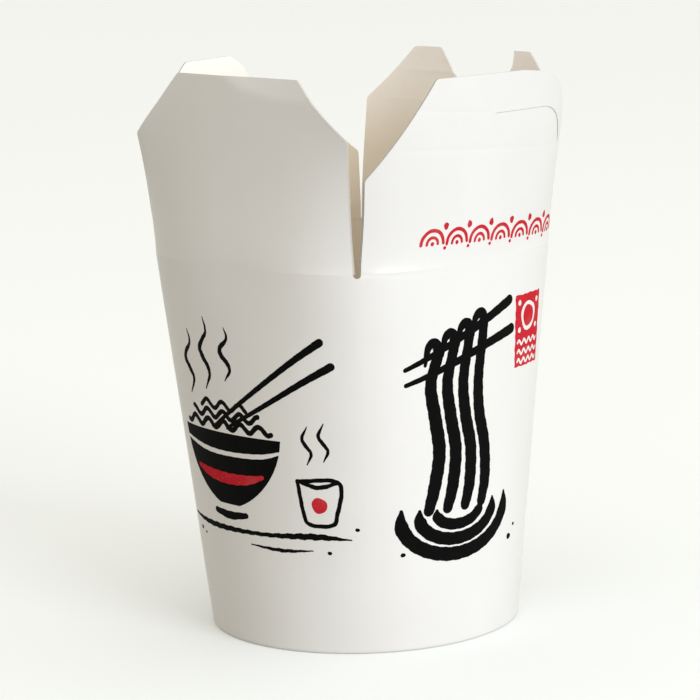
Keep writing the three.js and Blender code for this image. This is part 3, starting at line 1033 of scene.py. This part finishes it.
def card_material(name, colour, painted_shade_colour, roughness, coat, fibre):
    """White-lined carton board: nearly smooth, with a faint fibre, cloudy shade and soft gloss.

    The low colour is painted shade for the part below the mouth, where the inside of the pail lies in
    shadow; it fades into the card's own colour higher up, and the outside passes its own colour for it.
    """
    g = material(name)
    _, _, z = g.axes()
    # Painted shade: the low colour below, fading into the card's own colour higher up.
    colour_and_painted_shade = g.mix(z.smooth(PAINTED_SHADE_LOW, PAINTED_SHADE_HIGH), rgba(painted_shade_colour), rgba(colour))
    cloud = g.noise(38.0, detail=3.0, roughness=0.55)
    grain = g.noise(900.0, detail=3.0, roughness=0.6, where=g.stretched((1, 1, 0.35)))
    fleck = g.noise(2600.0, detail=1.0).smooth(0.66, 0.74)
    base = g.mix(0.025 - 0.025 * cloud.smooth(0.35, 0.7), colour_and_painted_shade, rgba(BLACK))
    base = g.mix(fleck * 0.05, base, rgba(FLECK))
    uneven = g.noise(120.0, where=g.stretched((1, 1, 0.6), (0.3, 0.1, 0.2)))
    fine = g.bump(grain, strength=fibre, distance=0.00004)
    normal = g.bump(uneven, strength=0.12, distance=0.0006, normal=fine)
    rough = roughness - 0.05 + cloud * 0.06 + grain * 0.05
    coating = {"Coat Weight": coat, "Coat Roughness": 0.3}
    return g.finish({"Base Color": base, "Roughness": rough, "Normal": normal, **coating})


def edge_material(colour):
    """The cut edge of the board, where its grey-brown plies show."""
    g = material("Cut edge of card")
    ply = g.noise(2200.0, roughness=0.6, where=g.stretched((1, 1, 2.2)))
    base = g.mix(ply.smooth(0.3, 0.7), rgba(colour, 0.82), rgba(colour, 1.1))
    normal = g.bump(ply, strength=0.5, distance=0.00006)
    return g.finish({"Base Color": base, "Roughness": 0.85, "Normal": normal})


def ink_material(name, colour, pale, wear, dullness):
    """Printing ink on card: even, with pinholes and slightly thinner patches."""
    g = material(name)
    patch = g.noise(160.0, detail=3.0, roughness=0.6)
    pinhole = g.noise(1500.0, roughness=0.6)
    thin = patch.smooth(0.45, 0.85) * 0.25 + pinhole.smooth(0.6, 0.75) * wear
    base = g.mix(thin, rgba(colour), rgba(pale))
    rough = dullness + patch * 0.1
    normal = g.bump(pinhole, strength=0.15, distance=0.00003)
    shine = {"Specular IOR Level": 0.03}
    return g.finish({"Base Color": base, "Roughness": rough, "Normal": normal, **shine})


def air(above, before, behind):
    """Soft light from all round: from above, from the floor before the pail and from behind it."""
    g = Graph(bpy.data.worlds.new("Air"), "Generated")
    _, y, up = g.axes()
    low = g.mix(y.smooth(-0.7, 0.3), rgba(before), rgba(behind))
    light = g.node("ShaderNodeBackground", None, {0: g.mix(up.smooth(-0.1, 0.6), low, rgba(above))})
    g.node("ShaderNodeOutputWorld", None, {0: light}, None)
    return g.owner


def floor_material(colour):
    """A matt floor with faint clouds of shade."""
    g = material("Pale floor")
    cloud = g.noise(3.0)
    base = g.mix(cloud, rgba(colour, 0.99), rgba(colour))
    return g.finish({"Base Color": base, "Roughness": 0.7})


# ---- The add-on ----


class PailLooks(bpy.types.PropertyGroup):
    """Colours and finishes of the card and the inks."""

    card: bpy.props.FloatVectorProperty(
        name="Card", description="Coated outside of the card", subtype="COLOR", size=3,
        default=(0.84, 0.828, 0.803), min=0, max=1,
    )
    inside: bpy.props.FloatVectorProperty(
        name="Inside", description="Inner face of the card", subtype="COLOR", size=3,
        default=(1.0, 0.965, 0.935), min=0, max=1,
    )
    # Painted shade: the inner face's darker, browner colour below the mouth, where the inside of the pail
    # lies in shadow.
    painted_shade_depths: bpy.props.FloatVectorProperty(
        name="Depths", description="Inner face of the card below the mouth", subtype="COLOR", size=3,
        default=(0.78, 0.695, 0.58), min=0, max=1,
    )
    edge: bpy.props.FloatVectorProperty(
        name="Cut edge", description="Plies seen at a cut edge", subtype="COLOR", size=3,
        default=(0.56, 0.53, 0.49), min=0, max=1,
    )
    ink_black: bpy.props.FloatVectorProperty(
        name="Black ink", description="Colour of the brush motifs", subtype="COLOR", size=3,
        default=(0.003, 0.003, 0.003), min=0, max=1,
    )
    ink_red: bpy.props.FloatVectorProperty(
        name="Red ink", description="Colour of the stamp and the border", subtype="COLOR", size=3,
        default=(0.58, 0.02, 0.032), min=0, max=1,
    )
    gloss: bpy.props.FloatProperty(
        name="Gloss", description="Share of clear coating on the outside", subtype="FACTOR",
        default=0.25, min=0, max=1,
    )


class PailSizes(bpy.types.PropertyGroup):
    """Small sizes that can change while the pail still fits its frame."""

    corner_round: bpy.props.FloatProperty(
        name="Corner round", description="Radius of the small rounds at the flaps' corners",
        unit="LENGTH", default=0.0007, min=0.0001,
    )
    slit_width: bpy.props.FloatProperty(
        name="Slit width", description="From edge to edge of the locking slit", unit="LENGTH",
        default=0.00008, min=0.00001,
    )
    ink_film: bpy.props.FloatProperty(
        name="Ink film", description="How far the print stands proud of the card", unit="LENGTH",
        default=0.000035, min=0.00001,
    )


class PailStage(bpy.types.PropertyGroup):
    """The camera, the light and the floor round the pail."""

    distance: bpy.props.FloatProperty(
        name="Camera distance", description="From the pail's middle to the camera", unit="LENGTH",
        default=0.806128, min=0.2,
    )
    azimuth: bpy.props.FloatProperty(
        name="Azimuth", description="Turn of the camera about the pail", subtype="ANGLE",
        default=math.radians(-44.169),
    )
    elevation: bpy.props.FloatProperty(
        name="Elevation", description="Camera's angle above the floor", subtype="ANGLE",
        default=math.radians(10.152),
    )
    key: bpy.props.FloatProperty(
        name="Key light", description="Power of the large soft light", unit="POWER",
        default=36.0, min=0,
    )
    key_colour: bpy.props.FloatVectorProperty(
        name="Key colour", description="Colour of the large soft light", subtype="COLOR", size=3,
        default=(0.93, 0.96, 1.0), min=0, max=1,
    )
    above: bpy.props.FloatVectorProperty(
        name="Air above", description="Soft light from above", subtype="COLOR", size=3,
        default=(1.06, 0.98, 0.9), min=0,
    )
    before: bpy.props.FloatVectorProperty(
        name="Air before", description="Soft light off the floor before the pail", subtype="COLOR",
        size=3, default=(0.6, 0.61, 0.62), min=0,
    )
    behind: bpy.props.FloatVectorProperty(
        name="Air behind", description="Soft light off the floor behind the pail", subtype="COLOR",
        size=3, default=(0.17, 0.115, 0.055), min=0,
    )
    floor: bpy.props.FloatVectorProperty(
        name="Floor", description="Colour of the pale floor", subtype="COLOR", size=3,
        default=(0.95, 0.98, 1.0), min=0, max=1,
    )


def direction(azimuth, elevation):
    """From the pail towards a viewer. Azimuth 0 is the -Y side, and 90 degrees the +X side."""
    level = math.cos(elevation)
    return Vector((math.sin(azimuth) * level, -math.cos(azimuth) * level, math.sin(elevation)))


class NOODLEPAIL_OT_stage(bpy.types.Operator):
    """Sets the floor, the light, the air round the pail and the camera"""

    bl_idname = "noodle_pail.stage"
    bl_label = "Build stage"

    def execute(self, context):
        scene = context.scene
        stage = scene.noodle_pail_stage
        scene.view_settings.view_transform = "Standard"
        self.floor(FLOOR_HALF / MM, floor_material(stage.floor))
        scene.world = air(stage.above, stage.before, stage.behind)
        self.key_light(stage, azimuth=-6, elevation=14, distance=2.6, size=1.3)
        scene.camera = self.camera(stage)
        return {"FINISHED"}

    def floor(self, half, material):
        """A square floor, half of whose width is given in millimetres."""
        corners = [(-half, -half, 0), (half, -half, 0), (half, half, 0), (-half, half, 0)]
        floor = mesh_object("floor", corners, [(0, 1, 2, 3)], [0], [material])
        floor.visible_diffuse = False

    def key_light(self, stage, azimuth, elevation, distance, size):
        """A square soft light that faces the middle of the pail. Its angles are in degrees."""
        data = bpy.data.lights.new("key_light", "AREA")
        data.shape = "SQUARE"
        data.size = size
        data.energy = stage.key
        data.color = stage.key_colour
        lamp = placed("key_light", data)
        back = direction(math.radians(azimuth), math.radians(elevation))
        lamp.location = Vector((0, 0, LIT_HEIGHT)) + back * distance
        lamp.rotation_euler = (-back).to_track_quat("-Z", "Y").to_euler()

    def camera(self, stage):
        """The camera, turned to the pail and rolled a little."""
        data = bpy.data.cameras.new("camera")
        data.lens = LENS
        data.sensor_width = SENSOR
        data.shift_x, data.shift_y = SHIFT
        data.clip_start = 0.01
        camera = placed("camera", data)
        back = direction(stage.azimuth, stage.elevation)
        turned = (-back).to_track_quat("-Z", "Y").to_matrix() @ Matrix.Rotation(ROLL, 3, "Z")
        place = Vector((0, 0, AIM_HEIGHT)) + back * stage.distance
        camera.matrix_world = Matrix.LocRotScale(place, turned, None)
        return camera


def card_finishes(scene):
    """The three materials of a piece of card: outside, inside and cut edge, made once."""
    looks = scene.noodle_pail_looks
    names = ("Coated card", "Inner face of card", "Cut edge of card")
    if names[0] not in bpy.data.materials:
        card_material(names[0], looks.card, looks.card, roughness=0.42, coat=looks.gloss, fibre=0.25)
        # The inner face fades from painted shade below the mouth to its own colour at the top.
        card_material(names[1], looks.inside, looks.painted_shade_depths, roughness=0.55, coat=0.08, fibre=0.45)
        edge_material(looks.edge)
    return [bpy.data.materials[name] for name in names]


def ink(scene, slot):
    """The ink for a material slot, made once."""
    name, worn, pinholes, dullness = INKS[slot]
    if name not in bpy.data.materials:
        ink_material(name, getattr(scene.noodle_pail_looks, slot), worn, pinholes, dullness)
    return bpy.data.materials[name]


def print_on_wall(scene, side, films):
    """Lays films on a side of the wall. Each is its name, slot, filled loops and cleared loops."""
    for name, slot, fills, clears in films:
        film = ink_film(scene, name, slot, fills, clears, partial(wall_point, side))
        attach(film, "pail")


class NOODLEPAIL_OT_wall(bpy.types.Operator):
    """Builds the wall: one strip of card, lapped and glued, with its rim folded in"""

    bl_idname = "noodle_pail.wall"
    bl_label = "Build wall"

    def execute(self, context):
        wall = build_wall(card_finishes(context.scene))
        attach(wall, "pail")
        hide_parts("wall")
        return {"FINISHED"}


class NOODLEPAIL_OT_base(bpy.types.Operator):
    """Builds the base disc with its skirt"""

    bl_idname = "noodle_pail.base"
    bl_label = "Build base"

    def execute(self, context):
        # The base takes the inner face's material, and with it the painted shade.
        base = build_base([card_finishes(context.scene)[1]])
        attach(base, "pail")
        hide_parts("base")
        return {"FINISHED"}


class NOODLEPAIL_OT_flaps(bpy.types.Operator):
    """Builds the four closing flaps"""

    bl_idname = "noodle_pail.flaps"
    bl_label = "Build flaps"

    def execute(self, context):
        for side in SIDES:
            flap = build_flap(side, context.scene.noodle_pail_sizes, card_finishes(context.scene))
            fold_with(flap)
            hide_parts(f"{side}_flap")
        return {"FINISHED"}


class NOODLEPAIL_OT_bowl_print(bpy.types.Operator):
    """Prints a noodle bowl, chopsticks and a cup on the plain side"""

    bl_idname = "noodle_pail.bowl_print"
    bl_label = "Print bowl"

    def execute(self, context):
        black, clear, red = bowl_print()
        films = [("print_bowl", "ink_black", black, clear + red), ("print_bowl_red", "ink_red", red, [])]
        print_on_wall(context.scene, "plain", films)
        return {"FINISHED"}


class NOODLEPAIL_OT_noodle_print(bpy.types.Operator):
    """Prints the tall noodle motif and the red stamp on the slot side"""

    bl_idname = "noodle_pail.noodle_print"
    bl_label = "Print noodles"

    def execute(self, context):
        field, clear, sun = stamp_print()
        films = [("print_noodles", "ink_black", noodle_print(), [])]
        films += [("print_stamp", "ink_red", [field], clear), ("print_stamp_sun", "ink_red", [sun], [])]
        print_on_wall(context.scene, "slot", films)
        return {"FINISHED"}


class NOODLEPAIL_OT_border_print(bpy.types.Operator):
    """Prints the red border along the slot flap"""

    bl_idname = "noodle_pail.border_print"
    bl_label = "Print border"

    def execute(self, context):
        spot = partial(flap_point, "slot")
        border = ink_film(context.scene, "print_border", "ink_red", border_print(), [], spot)
        fold_with(border)
        return {"FINISHED"}


class NOODLEPAIL_PT_panel(bpy.types.Panel):
    """Lists the steps that build the pail"""

    bl_idname = "NOODLEPAIL_PT_panel"
    bl_label = "Noodle pail"
    bl_space_type = "VIEW_3D"
    bl_region_type = "UI"
    bl_category = "Noodle pail"

    def draw(self, context):
        scene = context.scene
        for group in (scene.noodle_pail_looks, scene.noodle_pail_sizes, scene.noodle_pail_stage):
            for name in group.__annotations__:
                self.layout.prop(group, name)
        for step in STEPS:
            self.layout.operator(step.bl_idname)


STEPS = (
    NOODLEPAIL_OT_stage,
    NOODLEPAIL_OT_wall,
    NOODLEPAIL_OT_base,
    NOODLEPAIL_OT_flaps,
    NOODLEPAIL_OT_bowl_print,
    NOODLEPAIL_OT_noodle_print,
    NOODLEPAIL_OT_border_print,
)
CLASSES = (PailLooks, PailSizes, PailStage, *STEPS, NOODLEPAIL_PT_panel)


def register():
    for cls in CLASSES:
        bpy.utils.register_class(cls)
    bpy.types.Scene.noodle_pail_looks = bpy.props.PointerProperty(type=PailLooks)
    bpy.types.Scene.noodle_pail_sizes = bpy.props.PointerProperty(type=PailSizes)
    bpy.types.Scene.noodle_pail_stage = bpy.props.PointerProperty(type=PailStage)


def unregister():
    del bpy.types.Scene.noodle_pail_stage
    del bpy.types.Scene.noodle_pail_sizes
    del bpy.types.Scene.noodle_pail_looks
    for cls in reversed(CLASSES):
        bpy.utils.unregister_class(cls)


def main():
    """Builds the stage and the pail."""
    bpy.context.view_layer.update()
    register()
    bpy.ops.noodle_pail.stage()
    bpy.ops.noodle_pail.wall()
    bpy.ops.noodle_pail.base()
    bpy.ops.noodle_pail.flaps()
    bpy.ops.noodle_pail.bowl_print()
    bpy.ops.noodle_pail.noodle_print()
    bpy.ops.noodle_pail.border_print()


if __name__ == "__main__":
    main()
